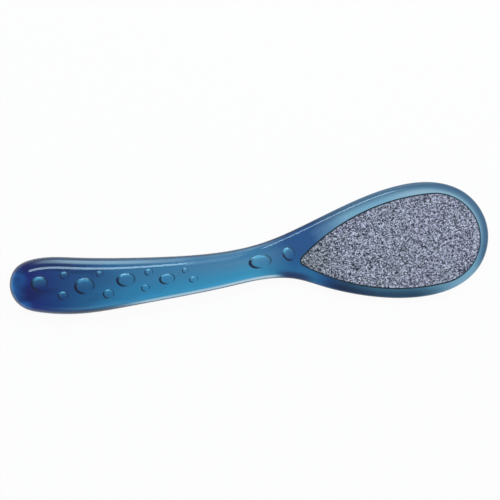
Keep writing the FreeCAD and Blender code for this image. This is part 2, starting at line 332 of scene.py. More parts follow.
def plastic_tint(finish, settings):
    """Return the plastic's tint: colours along the file, then the layers that lie over them, most
    of them painted light and shade.
    """
    swirl = finish.streaks(2.6, 85)
    along = finish.along()
    border = finish.stored("border")
    lower = finish.eased(finish.stored("across"), -0.30, 0.80)
    upper = 1 - lower
    # Shares that go by the place along the file, from the butt to the nose.
    past_butt = finish.eased(along, 0.04, 0.15)
    past_palm = finish.eased(along, 0.17, 0.29)
    on_grip = finish.eased(along, 0.40, 0.20)
    low_light_reach = finish.within(along, 0.08, 0.28, 0.48, 0.57)
    by_waist = finish.within(along, 0.35, 0.40, 0.50, 0.59)
    before_flare = finish.eased(along, 0.575, 0.535)
    by_flare = finish.within(along, 0.545, 0.575, 0.60, 0.635)
    below_tip = lower * finish.within(along, 0.55, 0.60, 0.62, 0.66)
    on_head = finish.eased(along, 0.60, 0.70)
    past_tip = finish.eased(along, 0.63, 0.69)
    by_nose = finish.eased(along, 0.82, 0.93)
    pale_corner = lower * by_nose * finish.eased(along, 0.985, 0.95)
    below_palm = lower * past_butt * (1 - past_palm)
    below_grip = lower * past_palm
    # Shares that go by the distance from the outline.
    rim = finish.eased(border, 0.0058, 0.0012)
    inner_rim = finish.eased(border, 0.0028, 0.0048)
    band = finish.within(border, 0.0011, 0.0019, 0.0024, 0.0036)
    under_edge = finish.within(border, 0.0012, 0.0020, 0.0042, 0.0066)
    line = finish.within(border, 0.0003, 0.0006, 0.0012, 0.0021)
    faint_line = finish.within(border, 0.0018, 0.0026, 0.0028, 0.0038)
    edge = finish.eased(border, 0.0014, 0.0004) * (1 - below_grip) + (
        finish.eased(border, 0.0008, 0.0003) * below_grip)
    spread = 0.05 * (swirl - 0.5) - 0.04 * lower * finish.eased(along, 0.60, 0.64)
    tint = finish.ramp(along + spread, [
        (0.0, settings.butt_tint), (0.045, settings.indigo), (0.17, settings.palm_tint),
        (0.27, settings.body_tint), (0.51, settings.neck_tint), (0.59, settings.tip_tint),
        (0.635, settings.tip_tint), (0.71, settings.rim_tint), (1.0, settings.rim_tint)])
    for share, shade, blend in (
            (0.6 * on_grip * finish.eased(swirl, 0.50, 0.68), settings.streak, "MULTIPLY"),
            # Painted light turns the grip's lower side teal and lighter, as far as below the
            # abrasive's tip.
            (lower * (1 - on_head), settings.teal, "MULTIPLY"),
            (lower * (0.7 * low_light_reach + 0.2 * below_tip), settings.low_side_light, "MIX"),
            # Painted shade darkens the head's rim outwards, and most along its lower side; painted
            # light pales its upper side beside the abrasive.
            (rim * on_head * (1 - 0.85 * pale_corner), settings.outer_rim_shade, "MULTIPLY"),
            (0.55 * upper * finish.eased(along, 0.78, 0.88) * inner_rim, settings.pale_rim_light, "MIX"),
            (lower * past_tip * (1 - by_nose), settings.slate, "MULTIPLY"),
            # Painted sheen lays a pale band inside the palm's upper edge, and painted shade a
            # darker tone inside the waist's.
            (0.7 * band * upper * on_grip * past_butt, WHITE, "MIX"),
            (by_waist * under_edge * upper, settings.waist_shade, "MULTIPLY"),
            # Painted light runs as a bright line inside the lower edge, faint below the palm, up
            # to the flare, where painted shade turns the lower edge violet.
            (0.95 * line * lower * before_flare * past_palm, WHITE, "MIX"),
            (0.12 * below_palm * faint_line, WHITE, "MIX"),
            (0.85 * lower * by_flare * finish.eased(border, 0.0045, 0.0020),
             settings.violet, "MIX"),
            # Painted shade runs as a dark line outside them all.
            (edge * (1 - on_head), settings.grip_edge_shade, "MULTIPLY"),
            (below_palm * finish.eased(border, 0.0024, 0.0012), settings.grip_edge_shade, "MULTIPLY")):
        tint = finish.mix(share, tint, shade, blend)
    # The tint lies on the front alone, where it colours half of what passes through.
    tint = finish.mix(finish.stored("front"), WHITE, finish.mix(1.0, tint, tint, "MULTIPLY"))
    # Painted highlights light up the drops, and painted shade darkens their rims in crescents.
    tint = finish.mix(finish.stored("lens"), tint, settings.drop_highlight, "ADD")
    tint = finish.mix(finish.stored("crescent"), tint, settings.crescent_shade)
    # Painted shade darkens the plastic in the gap round the abrasive.
    return finish.mix(finish.stored("recess"), tint, settings.recess_shade)


def clear_plastic(settings):
    """Tinted clear plastic, deeper in colour where it is thicker, with painted light and shade in
    its tint and fine rubbing marks.
    """
    finish = new_finish("clear_blue_plastic")
    along = finish.along()
    # Handling has dulled the upper edge between the palm and the neck.
    dulled = finish.within(along, 0.345, 0.40, 0.46, 0.52) * (
        finish.eased(finish.stored("across"), -0.05, -0.25))
    marks = 0.03 * finish.speckle(110) + 0.28 * dulled + 0.06 * finish.eased(along, 0.54, 0.66)
    surface = finish.principled({
        "Base Color": plastic_tint(finish, settings),
        "Roughness": 0.045 + marks,
        "IOR": 1.52,
        "Transmission Weight": 1.0,
        "Normal": finish.bump(finish.speckle(160, 1), 0.002, 0.001),
    })
    volume = finish.node("ShaderNodeVolumeAbsorption", {}, {
        "Color": settings.depth_colour, "Density": settings.depth_strength})
    return finish.output(surface, volume.outputs[0])


def abrasive_grains(settings, name, scale, contrast):
    """Loose speckle of pale and dark grains in a cool grey, a little olive near the tip."""
    finish = new_finish(name)
    grains = finish.node("ShaderNodeTexVoronoi", {"voronoi_dimensions": "3D"}, {
        "Vector": finish.place(), "Scale": scale, "Randomness": 1.0})
    single = finish.amount(
        "ShaderNodeSeparateColor", {}, {"Color": grains.outputs["Color"]}, 0)
    tone = contrast * single + (1 - contrast) * finish.speckle(0.7 * scale, 2, 0.7)
    shade = finish.ramp(tone, [
        (0.22, settings.dark_grain), (0.38, settings.grey_grain), (0.60, settings.pale_grain),
        (0.86, settings.bright_grain)])
    patches = finish.ramp(finish.speckle(45), [(0.40, settings.lilac), (0.60, settings.sage)])
    shade = finish.mix(1.0, shade, patches, "MULTIPLY")
    near_tip = finish.eased(finish.along(), 0.70, 0.61)
    worn = finish.mix(finish.speckle(140), settings.worn_grain, WHITE)
    shade = finish.mix(0.10 + 0.90 * near_tip, shade, worn, "MULTIPLY")
    return finish.output(finish.principled({
        "Base Color": shade,
        "Roughness": 0.45 + 0.35 * tone,
        "Specular IOR Level": 0.5,
        "Normal": finish.bump(tone, 0.35, 0.0002),
    }))


def backing_film(settings):
    """Dark film that carries the grains, with a fibrous edge."""
    finish = new_finish("backing_film")
    fibre = finish.speckle(2400, 3, 0.6)
    light = tuple(1.7 * part for part in settings.backing)
    return finish.output(finish.principled({
        "Base Color": finish.ramp(fibre, [(0.3, settings.backing), (0.7, light)]),
        "Roughness": 0.55 + 0.25 * fibre,
        "Normal": finish.bump(fibre, 0.2, 0.0001),
    }))


def adhesive_film(settings):
    """Thin milky glue film, slightly uneven where it wets the plastic."""
    finish = new_finish("adhesive_film")
    wetting = finish.speckle(350, 2, 0.6)
    wet = tuple(0.75 * part for part in settings.adhesive)
    return finish.output(finish.principled({
        "Base Color": finish.ramp(wetting, [(0.35, wet), (0.65, settings.adhesive)]),
        "Roughness": 0.3 + 0.3 * wetting,
    }))


def white_stage(settings):
    """Floor that shows plain white, also through the plastic, and keeps some of the shadow."""
    finish = new_finish("white_stage")
    through = finish.ray("Transmission")
    seen = finish.ray("Camera") + finish.ray("Glossy") * (1 - through)
    share = seen * settings.backdrop_share + through * settings.through_share
    share = finish.amount("ShaderNodeClamp", {}, {"Value": share}, 0)
    shade = finish.ramp(
        finish.speckle(6), [(0.3, (0.90, 0.90, 0.90)), (0.7, (0.93, 0.93, 0.93))])
    floor = finish.node("ShaderNodeBsdfDiffuse", {}, {"Color": shade})
    glow = finish.node("ShaderNodeEmission", {}, {"Color": WHITE, "Strength": 1.0})
    return finish.output(finish.mix_shaders(share, floor, glow))


# Mesh helpers

def boundary_of(bm):
    return [edge for edge in bm.edges if edge.is_boundary]


def points_in(geometry):
    return [item for item in geometry if isinstance(item, bmesh.types.BMVert)]


def extrude_border(bm):
    """Extrude the open border and return its new points."""
    return points_in(bmesh.ops.extrude_edge_only(bm, edges=boundary_of(bm))["geom"])


def mesh_object(name, bm, smooth=False):
    """Turn a finished bmesh into an object."""
    mesh = bpy.data.meshes.new(name)
    bm.to_mesh(mesh)
    bm.free()
    mesh.polygons.foreach_set("use_smooth", [smooth] * len(mesh.polygons))
    made = bpy.data.objects.new(name, mesh)
    bpy.context.scene.collection.objects.link(made)
    return made


def new_piece(name, bm, material, smooth=True):
    """Turn a finished bmesh into a piece of the object."""
    piece = mesh_object(name, bm, smooth)
    piece.data.materials.append(material)
    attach(piece, BODY)
    return piece


def read_all(items, name, width=1, kind=float):
    """Return one kind of value of all of a mesh's points, corners or faces."""
    values = np.empty(width * len(items), kind)
    items.foreach_get(name, values)
    return values if width == 1 else values.reshape(-1, width)


def store(mesh, name, domain, values):
    mesh.attributes.new(name, "FLOAT", domain).data.foreach_set("value", values)


def rising(values, start, end):
    """Return shares that rise from 0 to 1 as values go from start to end."""
    return np.clip((values - start) / (end - start), 0, 1)


def eased(x, stations):
    """Return a value that eases from each station's to the next."""
    if x <= stations[0][0]:
        return stations[0][1]
    for (start, low), (end, high) in zip(stations, stations[1:]):
        if x <= end:
            share = (x - start) / (end - start)
            return low + (high - low) * share * share * (3 - 2 * share)
    return stations[-1][1]


# Lines and heights of the handle

# A grip station is a share of the way from the waist to the butt, a share of the butt's rise and a
# share of the way from the waist's half width to the palm's.
GRIP_SHARES = [(0.03, 0.12, 0.01), (0.25, 0.16, 0.26), (0.47, 0.32, 0.61), (0.70, 0.60, 1.00)]
# A butt station is its distance from the butt as a share of the palm's width, and the same two.
BUTT_SHARES = [(0.49, 0.96, 0.88), (0.158, 1.05, 0.20)]
# A flare station is a share of the way from the waist to the nose, and a share of the way from the
# waist's half width to the head's.
UPPER_FLARE_SHARES = [(0.13, 0.125), (0.29, 0.38), (0.48, 0.745), (0.69, 0.992)]
LOWER_FLARE_SHARES = [(0.13, -0.08), (0.23, 0.04), (0.33, 0.34), (0.48, 0.725), (0.69, 0.992)]
# A nose station is its distance from the nose as a share of the head's width, and the last share.
NOSE_SHARES = [(0.382, 0.91), (0.1415, 0.525)]

# Where the neck and the flat of the head begin: how far before the waist and the abrasive's tip.
NECK_LEAD = 0.006
FLAT_LEAD = 0.0045
# How far the lines of height run on past both ends.
OVERRUN = 0.002
# At the butt, how far the front lies below the palm's height, and the rear above the floor.
BUTT_FALL = 0.0013
BUTT_LIFT = 0.0009
# The slopes of the front at the butt and at the neck, and of the rear at the butt.
FRONT_BUTT_SLOPE = 0.068
NECK_SLOPE = -0.042
REAR_BUTT_SLOPE = -0.047
# How far a line of height keeps a station's slope, as a share of the way to the next.
SLOPE_REACH = 0.36
# How wide and deep the rounded edges are at the butt, the palm, the neck, the flat and HEAD_X.
EDGE_SIZES = {
    "front_width": (0.0098, 0.0098, 0.0064, 0.0040, 0.0045),
    "front_depth": (0.0062, 0.0064, 0.0046, 0.0027, 0.0025),
    "rear_width": (0.0060, 0.0070, 0.0048, 0.0028, 0.0026),
    "rear_depth": (0.0040, 0.0044, 0.0030, 0.0025, 0.0026),
}
HEAD_X = 0.06
# Steps in which the outline, the heights and each stretch between stations are worked out.
LINE_STEPS = 6000
HEIGHT_STEPS = 2000
STATION_STEPS = 60


class Table:
    """Numbers or vectors at even steps, looked up between them."""

    def __init__(self, start, end, values):
        self.start = start
        self.values = values
        self.rate = (len(values) - 1) / (end - start)

    def __call__(self, place):
        steps = float((place - self.start) * self.rate)
        here = min(max(int(steps), 0), len(self.values) - 2)
        low, high = self.values[here], self.values[here + 1]
        return low + (steps - here) * (high - low)


class ClosedLine:
    """A smooth closed line through points, which bends as evenly as a thin strip does."""

    def __init__(self, points):
        self.points = np.array(points + points[:1], float)
        steps = np.linalg.norm(np.diff(self.points, axis=0), axis=1)
        self.marks = np.concatenate([[0], np.cumsum(steps)])
        count = len(steps)
        slopes = np.diff(self.points, axis=0) / steps[:, None]
        system = np.zeros((count, count))
        wanted = np.zeros((count, 2))
        for here in range(count):
            before = here - 1
            system[here, before] += steps[before]
            system[here, here] += 2 * (steps[before] + steps[here])
            system[here, (here + 1) % count] += steps[here]
            wanted[here] = 6 * (slopes[here] - slopes[before])
        bends = np.linalg.solve(system, wanted)
        self.bends = np.concatenate([bends, bends[:1]])
        total = self.marks[-1]
        exact = [self.worked_out(mark) for mark in np.linspace(0, total, LINE_STEPS)]
        self.places = Table(0, total, [place for place, _ in exact])
        self.ways = Table(0, total, [way for _, way in exact])

    def worked_out(self, mark):
        """Return the place at a distance along the line and the direction there, by the spline."""
        here = min(int(np.searchsorted(self.marks, mark, side="right")) - 1, len(self.marks) - 2)
        step = self.marks[here + 1] - self.marks[here]
        back = (self.marks[here + 1] - mark) / step
        on = 1 - back
        first, second = self.points[here], self.points[here + 1]
        bend, next_bend = self.bends[here], self.bends[here + 1]
        place = back * first + on * second + (
            (back ** 3 - back) * bend + (on ** 3 - on) * next_bend) * step ** 2 / 6
        way = (second - first) / step + (
            (1 - 3 * back ** 2) * bend + (3 * on ** 2 - 1) * next_bend) * step / 6
        return Vector(place), Vector(way).normalized()

    def at(self, mark):
        """Return the place at a distance along the line, and the direction there."""
        mark = mark % self.marks[-1]
        return self.places(mark), self.ways(mark)

    def inside(self, mark, inset):
        """Return the place that lies inside the line by an inset."""
        place, way = self.at(mark)
        return place + inset * Vector((way.y, -way.x))


class HandleForm:
    """The handle's outline and heights at its given sizes."""

    def __init__(self, sizes):
        self.sizes = sizes
        self.waist_x = NOSE_X - sizes.head_reach
        self.head_top = sizes.head_base + sizes.head_thickness
        palm_x = BUTT_X + sizes.palm_reach
        neck_x = self.waist_x - NECK_LEAD
        flat_x = TIP_X - FLAT_LEAD
        self.outline = ClosedLine(self.outline_points())
        self.front = self.height_line([
            (BUTT_X - OVERRUN, sizes.palm_height - BUTT_FALL, FRONT_BUTT_SLOPE),
            (palm_x, sizes.palm_height, 0),
            (neck_x, sizes.neck_height, NECK_SLOPE),
            (flat_x, self.head_top, 0),
            (NOSE_X + OVERRUN, self.head_top, 0)])
        self.rear = self.height_line([
            (BUTT_X - OVERRUN, BUTT_LIFT, REAR_BUTT_SLOPE),
            (palm_x, 0, 0),
            (neck_x, sizes.arch_height, 0),
            (flat_x, sizes.head_base, 0),
            (NOSE_X + OVERRUN, sizes.head_base, 0)])
        places = (BUTT_X, palm_x, neck_x, flat_x, HEAD_X)
        self.edges = {name: list(zip(places, values)) for name, values in EDGE_SIZES.items()}

    def outline_points(self):
        """Return the outline's points, clockwise from the butt."""
        sizes = self.sizes
        waist, palm, head = (0.5 * width for width in (
            sizes.waist_width, sizes.palm_width, sizes.head_width))
        grip = [(self.waist_x + along * (BUTT_X - self.waist_x), centre, spread)
                for along, centre, spread in GRIP_SHARES]
        grip += [(BUTT_X + back * sizes.palm_width, centre, spread)
                 for back, centre, spread in BUTT_SHARES]
        nose = [(NOSE_X - back * sizes.head_width, spread) for back, spread in NOSE_SHARES]

        def grip_side(side):
            return [(x, centre * sizes.butt_rise + side * (waist + spread * (palm - waist)))
                    for x, centre, spread in grip]

        def head_side(side, shares):
            flare = [(self.waist_x + along * sizes.head_reach, spread) for along, spread in shares]
            return [(x, side * (waist + spread * (head - waist))) for x, spread in flare + nose]

        upper = grip_side(1)[::-1] + head_side(1, UPPER_FLARE_SHARES)
        lower = head_side(-1, LOWER_FLARE_SHARES)[::-1] + grip_side(-1)
        self.corners = [1, len(upper), len(upper) + 2, len(upper) + 1 + len(lower)]
        self.nose_corner = len(upper) + 1
        return [(BUTT_X, sizes.butt_rise)] + upper + [(NOSE_X, 0)] + lower

    @staticmethod
    def height_line(stations):
        """Return the heights of a smooth line through stations of place, height and slope."""
        places, heights = [], []
        for (x0, z0, slope0), (x1, z1, slope1) in zip(stations, stations[1:]):
            reach = SLOPE_REACH * (x1 - x0)
            for share in np.linspace(0, 1, STATION_STEPS, endpoint=False):
                weights = [(1 - share) ** 3, 3 * share * (1 - share) ** 2,
                           3 * share ** 2 * (1 - share), share ** 3]
                places.append(np.dot(weights, [x0, x0 + reach, x1 - reach, x1]))
                heights.append(np.dot(weights, [z0, z0 + reach * slope0, z1 - reach * slope1, z1]))
        places.append(stations[-1][0])
        heights.append(stations[-1][1])
        start, end = stations[0][0], stations[-1][0]
        even = np.interp(np.linspace(start, end, HEIGHT_STEPS), places, heights)
        return Table(start, end, even.tolist())


# Water drops on the grip: a share of the way from the waist to the butt, a share of the half width
# there, the length as a share of that way, and the width as a share of the palm's.
GRIP_DROPS = [
    (0.860, 0.08, 0.077, 0.268),
    (0.765, -0.34, 0.046, 0.162),
    (0.745, 0.36, 0.041, 0.141),
    (0.665, -0.02, 0.091, 0.296),
    (0.590, 0.40, 0.032, 0.113),
    (0.565, -0.38, 0.052, 0.176),
    (0.480, 0.10, 0.086, 0.246),
    (0.400, -0.34, 0.039, 0.134),
    (0.375, 0.34, 0.039, 0.127),
    (0.300, -0.05, 0.073, 0.197),
    (0.215, 0.26, 0.030, 0.106),
    (0.185, -0.24, 0.041, 0.120),
]
# Water drops on the neck: how far before the abrasive's tip, the place across, half the length,
# half the width and the turn.
NECK_DROPS = [
    (0.0200, 0.0020, 0.0059, 0.0035, 0),
    (0.0052, 0.0034, 0.0031, 0.0037, math.radians(25)),
]
# How many places on the outline are looked through for the grip's edges beside a drop, and how far
# off along the file they may lie.
SCAN_STEPS = 1200
SCAN_REACH = 0.0006
# Steps round and up a drop, and the height from which its place on the front is looked for.
BALL_STEPS = (48, 24)
ABOVE = 0.1
# The side on which the painted shade on a drop's rim is darkest.
CRESCENT_ANGLE = math.radians(200)


def drop_list(form):
    """Return each drop's place, half length, half width and turn."""
    marks = np.linspace(0, form.outline.marks[-1], SCAN_STEPS)
    line = np.array([form.outline.at(mark)[0] for mark in marks])
    grip_length = form.waist_x - BUTT_X
    drops = []
    for along, across, long_share, wide_share in GRIP_DROPS:
        x = form.waist_x - along * grip_length
        near = line[np.abs(line[:, 0] - x) < SCAN_REACH, 1]
        low, high = near.min(), near.max()
        y = 0.5 * (low + high) + across * 0.5 * (high - low)
        drops.append((
            x, y, 0.5 * long_share * grip_length, 0.5 * wide_share * form.sizes.palm_width, 0))
    return drops + [(TIP_X - before, *rest) for before, *rest in NECK_DROPS]


def drops_piece(form, shell):
    """Make the water drops: ellipsoids that lie half sunk in the front of the shell."""
    front = BVHTree.FromBMesh(shell)
    bm = bmesh.new()
    around, up = BALL_STEPS
    bmesh.ops.create_uvsphere(bm, u_segments=around, v_segments=up, radius=1)
    ball = bpy.data.meshes.new("ball")
    bm.to_mesh(ball)
    bm.clear()
    for x, y, half_length, half_width, turn in drop_list(form):
        place, normal, _, _ = front.ray_cast(Vector((x, y, ABOVE)), Vector((0, 0, -1)))
        lean = Vector((0, 0, 1)).rotation_difference(normal).to_matrix().to_4x4()
        size = Matrix.Diagonal((half_length, half_width, form.sizes.drop_height, 1))
        bm.from_mesh(ball)
        bmesh.ops.transform(
            bm, matrix=Matrix.Translation(place) @ lean @ Matrix.Rotation(turn, 4, "Z") @ size,
            verts=bm.verts[-len(ball.vertices):])
    bpy.data.meshes.remove(ball)
    return mesh_object("water_drops", bm, smooth=True)


# Steps in which each side of the outline is searched.
OUTLINE_STEPS = 3000
# The shares of the thickness, from the rear, between which the front's tint sets in.
FRONT_RANGE = (0.42, 0.66)


def store_edges(mesh, form):
    """Store how far inside the outline each point lies, how far across and how far up."""
    marks = form.outline.marks
    distances = []
    for start, end in ((0, marks[form.nose_corner]), (marks[form.nose_corner], marks[-1])):
        tree = KDTree(OUTLINE_STEPS)
        for step, mark in enumerate(np.linspace(start, end, OUTLINE_STEPS)):
            place, _ = form.outline.at(mark)
            tree.insert((place[0], place[1], 0), step)
        tree.balance()
        distances.append(np.array(
            [tree.find((vert.co.x, vert.co.y, 0))[2] for vert in mesh.vertices]))
    upper, lower = distances
    store(mesh, "border", "POINT", np.minimum(upper, lower))
    store(mesh, "across", "POINT", (upper - lower) / (upper + lower + 1e-9))
    rises = [(z - form.rear(x)) / (form.front(x) - form.rear(x))
             for x, _, z in (vert.co for vert in mesh.vertices)]
    store(mesh, "front", "POINT", rising(np.array(rises), *FRONT_RANGE))


# How far outside the recess's outline its walls and the ring of its floor lie, which take painted
# shade.
GAP_RANGE = (-0.0015, 0.00003)


def store_recess(mesh, pad, gap):
    """Store where the plastic lies in the gap round the abrasive, which takes painted shade."""
    shape = Teardrop(pad, gap)
    to_tip = pad_matrix(pad).inverted()
    low, high = GAP_RANGE
    values = []
    for polygon in mesh.polygons:
        inside = low < shape.outside_by(to_tip @ polygon.center) < high
        values += [inside] * polygon.loop_total
    store(mesh, "recess", "CORNER", values)


def store_drops(mesh, form):
    """Store the painted light inside the drops, lighter towards their upper sides with a glint,
    and the painted shade in crescents along their rims.
    """
    corners = read_all(mesh.loops, "vertex_index", kind=int)
    corner_places = read_all(mesh.vertices, "co", 3)[corners]
    sides = read_all(mesh.polygons, "loop_total", kind=int)
    middles = read_all(mesh.polygons, "center", 3)
    lens, crescent = np.zeros(len(corners)), np.zeros(len(corners))
    for x, y, half_length, half_width, turn in drop_list(form):
        def in_drop(points):
            east, north = points[:, 0] - x, points[:, 1] - y
            along = (math.cos(turn) * east + math.sin(turn) * north) / half_length
            across = (math.cos(turn) * north - math.sin(turn) * east) / half_width
            return np.hypot(along, across), np.arctan2(across, along)
        reach, _ = in_drop(middles)
        on_drop = np.repeat((reach < 0.998) & (middles[:, 2] > form.head_top), sides)
        reach, angle = in_drop(corner_places)
        towards, upwards = np.cos(angle - CRESCENT_ANGLE), np.sin(angle)
        # Painted shade in crescents along the rim, and painted light, lighter towards the upper
        # side with a glint near the upper rim.
        shade = rising(reach + 0.07 * towards, 0.70, 0.83)
        shade *= rising(towards, 0.0625, 0.6875) + 0.9 * rising(-towards, 0.25, 0.875)
        glint = rising(reach, 0.50, 0.70) * rising(reach, 0.95, 0.85)
        gathered = 0.28 * np.clip(0.35 + 0.6 * reach * upwards, 0, 1) ** 2
        gathered += 0.6 * glint * rising(upwards, 0.60, 0.95)
        lens[on_drop] = gathered[on_drop]
        crescent[on_drop] = shade[on_drop]
    store(mesh, "lens", "CORNER", lens)
    store(mesh, "crescent", "CORNER", crescent)


# Handle

# Faces along and across the sheets, round the rounded edges and up the walls between them.
COLUMNS = 420
ROWS = 24
EDGE_STEPS = {"front": 16, "rear": 10}
WALL_CUTS = 2
# Places along each side at which its marks on the outline are worked out.
MARK_STEPS = 2000
# Edges that turn by more than this are creases.
SHARP_ANGLE = math.radians(32)
# How far from its ends the sheet bends to their round outline.
BUTT_BEND = 0.016
NOSE_BEND = 0.030


def handle_sheet(form, widths):
    """Make the flat sheet inside the rounded edges, with its marks on the outline kept."""
    outline = form.outline
    butt_upper, nose_upper, nose_lower, butt_lower = (
        outline.marks[corner] for corner in form.corners)
    total = outline.marks[-1]
    start_x, end_x = outline.at(butt_upper)[0].x, outline.at(nose_upper)[0].x

    def marks_by_x(start, end):
        marks = np.linspace(start, end, MARK_STEPS)
        x = [outline.at(mark)[0].x for mark in marks]
        even = np.interp(np.linspace(start_x, end_x, 2 * MARK_STEPS), x, marks)
        return Table(start_x, end_x, even.tolist())

    def inset_place(mark):
        return outline.inside(mark, eased(outline.at(mark)[0].x, widths))

    def between(lower, upper, across):
        return (1 - across) * inset_place(lower) + across * inset_place(upper)

    upper_marks = marks_by_x(butt_upper, nose_upper)
    lower_marks = marks_by_x(butt_lower, nose_lower)
    bm = bmesh.new()
    mark_layer = bm.verts.layers.float.new("mark")
    bmesh.ops.create_grid(bm, x_segments=COLUMNS, y_segments=ROWS, size=1)
    for vert in bm.verts:
        across = 0.5 * (vert.co.y + 1)
        along = 0.5 * (vert.co.x + 1)
        x = start_x + along * (end_x - start_x)
        upper_mark, lower_mark = upper_marks(x), lower_marks(x)
        butt_mark = butt_lower + across * (total - butt_lower + butt_upper)
        nose_mark = nose_lower + across * (nose_upper - nose_lower)
        place = between(lower_mark, upper_mark, across)
        for way, reach, end_mark, start, end in (
                (x - start_x, BUTT_BEND, butt_mark, butt_lower, total + butt_upper),
                (end_x - x, NOSE_BEND, nose_mark, nose_lower, nose_upper)):
            share = max(0, 1 - way / reach) ** 2
            if share > 0:
                place = place + share * (inset_place(end_mark) - between(start, end, across))
        if across < TINY:
            vert[mark_layer] = lower_mark
        elif across > 1 - TINY:
            vert[mark_layer] = upper_mark
        elif along < TINY:
            vert[mark_layer] = butt_mark
        elif along > 1 - TINY:
            vert[mark_layer] = nose_mark
        vert.co = (place.x, place.y, 0)
    return bm, mark_layer


def handle_half(form, side, heights, direction):
    """Make the front or the rear: its sheet, extruded outwards and down in a rounded edge."""
    widths, depths = form.edges[f"{side}_width"], form.edges[f"{side}_depth"]
    bm, mark_layer = handle_sheet(form, widths)
    steps = EDGE_STEPS[side]
    for step in range(1, steps + 1):
        turn = 0.5 * math.pi * step / steps
        for vert in extrude_border(bm):
            mark = vert[mark_layer]
            x = form.outline.at(mark)[0].x
            place = form.outline.inside(mark, eased(x, widths) * (1 - math.sin(turn)))
            vert.co = (place.x, place.y, -eased(x, depths) * (1 - math.cos(turn)))
    for vert in bm.verts:
        vert.co.z = heights(vert.co.x) + direction * vert.co.z
    return bm


def make_shell(form):
    """Make the handle without its recesses."""
    front = handle_half(form, "front", form.front, 1)
    rear = handle_half(form, "rear", form.rear, -1)
    bmesh.ops.reverse_faces(rear, faces=rear.faces[:])
    rear_mesh = bpy.data.meshes.new("handle_rear")
    rear.to_mesh(rear_mesh)
    rear.free()
    front.from_mesh(rear_mesh)
    bpy.data.meshes.remove(rear_mesh)
    walls = bmesh.ops.bridge_loops(front, edges=boundary_of(front))["edges"]
    bmesh.ops.subdivide_edges(front, edges=walls, cuts=WALL_CUTS, use_grid_fill=True)
    bmesh.ops.recalc_face_normals(front, faces=front.faces[:])
    return front


# Steps round each arc of the abrasive's outline.
TIP_STEPS, SIDE_STEPS, END_STEPS = 10, 60, 36


class Teardrop:
    """The abrasive's outline, grown by a distance: half of it is three arcs from the tip."""

    def __init__(self, pad, grow):
        tip = pad.pad_tip_radius
        half = pad.pad_half_width
        before = pad.pad_widest - tip
        beyond = pad.pad_length - pad.pad_widest
        side = (before ** 2 + half ** 2 - tip ** 2) / (2 * (half - tip))
        end = (2 * side * half - half ** 2 - beyond ** 2) / (2 * (side - beyond))
        drop = side - half
        end_x = pad.pad_length - end
        # Each arc's middle and radius, and the angles at which they meet.
        self.tip = (tip, 0, tip + grow)
        self.side = (pad.pad_widest, -drop, side + grow)
        self.end = (end_x, 0, end + grow)
        self.tip_angle = math.atan2(drop, tip - pad.pad_widest)
        self.end_angle = math.atan2(drop, end_x - pad.pad_widest)

    def arc_by(self, place):
        """Return the middle and radius of the arc that a place belongs to."""
        x, y = place[0], abs(place[1])
        if math.atan2(y, x - self.tip[0]) > self.tip_angle:
            return self.tip
        if math.atan2(y, x - self.end[0]) < self.end_angle:
            return self.end
        side_x, side_y, radius = self.side
        return side_x, side_y if place[1] >= 0 else -side_y, radius

    def nearest(self, place):
        """Return the place on the outline that is nearest to a place."""
        x, y, radius = self.arc_by(place)
        away = Vector((place[0] - x, place[1] - y)).normalized()
        return x + radius * away.x, y + radius * away.y

    def outside_by(self, place):
        """Return how far a place lies outside the outline; inside it is negative."""
        x, y, radius = self.arc_by(place)
        return math.hypot(place[0] - x, place[1] - y) - radius

    def add_face(self, bm, height):
        """Add its face at a height: half its outline is spun up arc by arc, then mirrored."""
        ends = [bm.verts.new((self.tip[0] - self.tip[2], 0, height))]
        for (x, y, _), start, finish, steps in (
                (self.tip, math.pi, self.tip_angle, TIP_STEPS),
                (self.side, self.tip_angle, self.end_angle, SIDE_STEPS),
                (self.end, self.end_angle, 0, END_STEPS)):
            spun = bmesh.ops.spin(
                bm, geom=ends, cent=(x, y, height), axis=(0, 0, 1), angle=finish - start,
                steps=steps)
            ends = points_in(spun["geom_last"])
        bmesh.ops.mirror(bm, geom=bm.verts[:] + bm.edges[:], axis="Y", merge_dist=TINY)
        bmesh.ops.remove_doubles(bm, verts=bm.verts[:], dist=TINY)
        bmesh.ops.contextual_create(bm, geom=bm.edges[:])


def pad_matrix(pad):
    """Return the transform from the tip of a flat teardrop to its place on the head."""
    return Matrix.Translation((TIP_X, -pad.pad_shift, 0)) @ Matrix.Rotation(pad.pad_turn, 4, "Z")


def close_on_head(bm, pad):
    """Close what was extruded from a teardrop, and put it in its place on the head."""
    bmesh.ops.contextual_create(bm, geom=boundary_of(bm))
    bmesh.ops.recalc_face_normals(bm, faces=bm.faces[:])
    bmesh.ops.transform(bm, matrix=pad_matrix(pad), verts=bm.verts[:])


# How far the recess floor's ring of painted shade reaches in under the abrasive.
RING_WIDTH = 0.0006
# How far a recess's cutter stands out of the head.
CUTTER_REACH = 0.002
# How far the adhesive sinks into the plastic that it wets.
WETTED = 0.00002


def recess_cutter(pad, gap, lip, floor, mouth):
    """Make the plug that a recess is cut with, flared where it leaves the head."""
    outwards = 1 if mouth > floor else -1
    bm = bmesh.new()
    Teardrop(pad, gap).add_face(bm, floor)
    bmesh.ops.inset_individual(
        bm, faces=bm.faces[:], thickness=gap + RING_WIDTH, use_even_offset=True)
    for rise, flare in (
            (-lip, 0), (-0.3 * lip, 0.3 * lip), (0.5 * lip, 1.5 * lip),
            (CUTTER_REACH, 1.5 * lip)):
        shape = Teardrop(pad, gap + flare)
        for vert in extrude_border(bm):
            vert.co.x, vert.co.y = shape.nearest(vert.co)
            vert.co.z = mouth + outwards * rise
    close_on_head(bm, pad)
    return mesh_object("recess_cutter", bm)


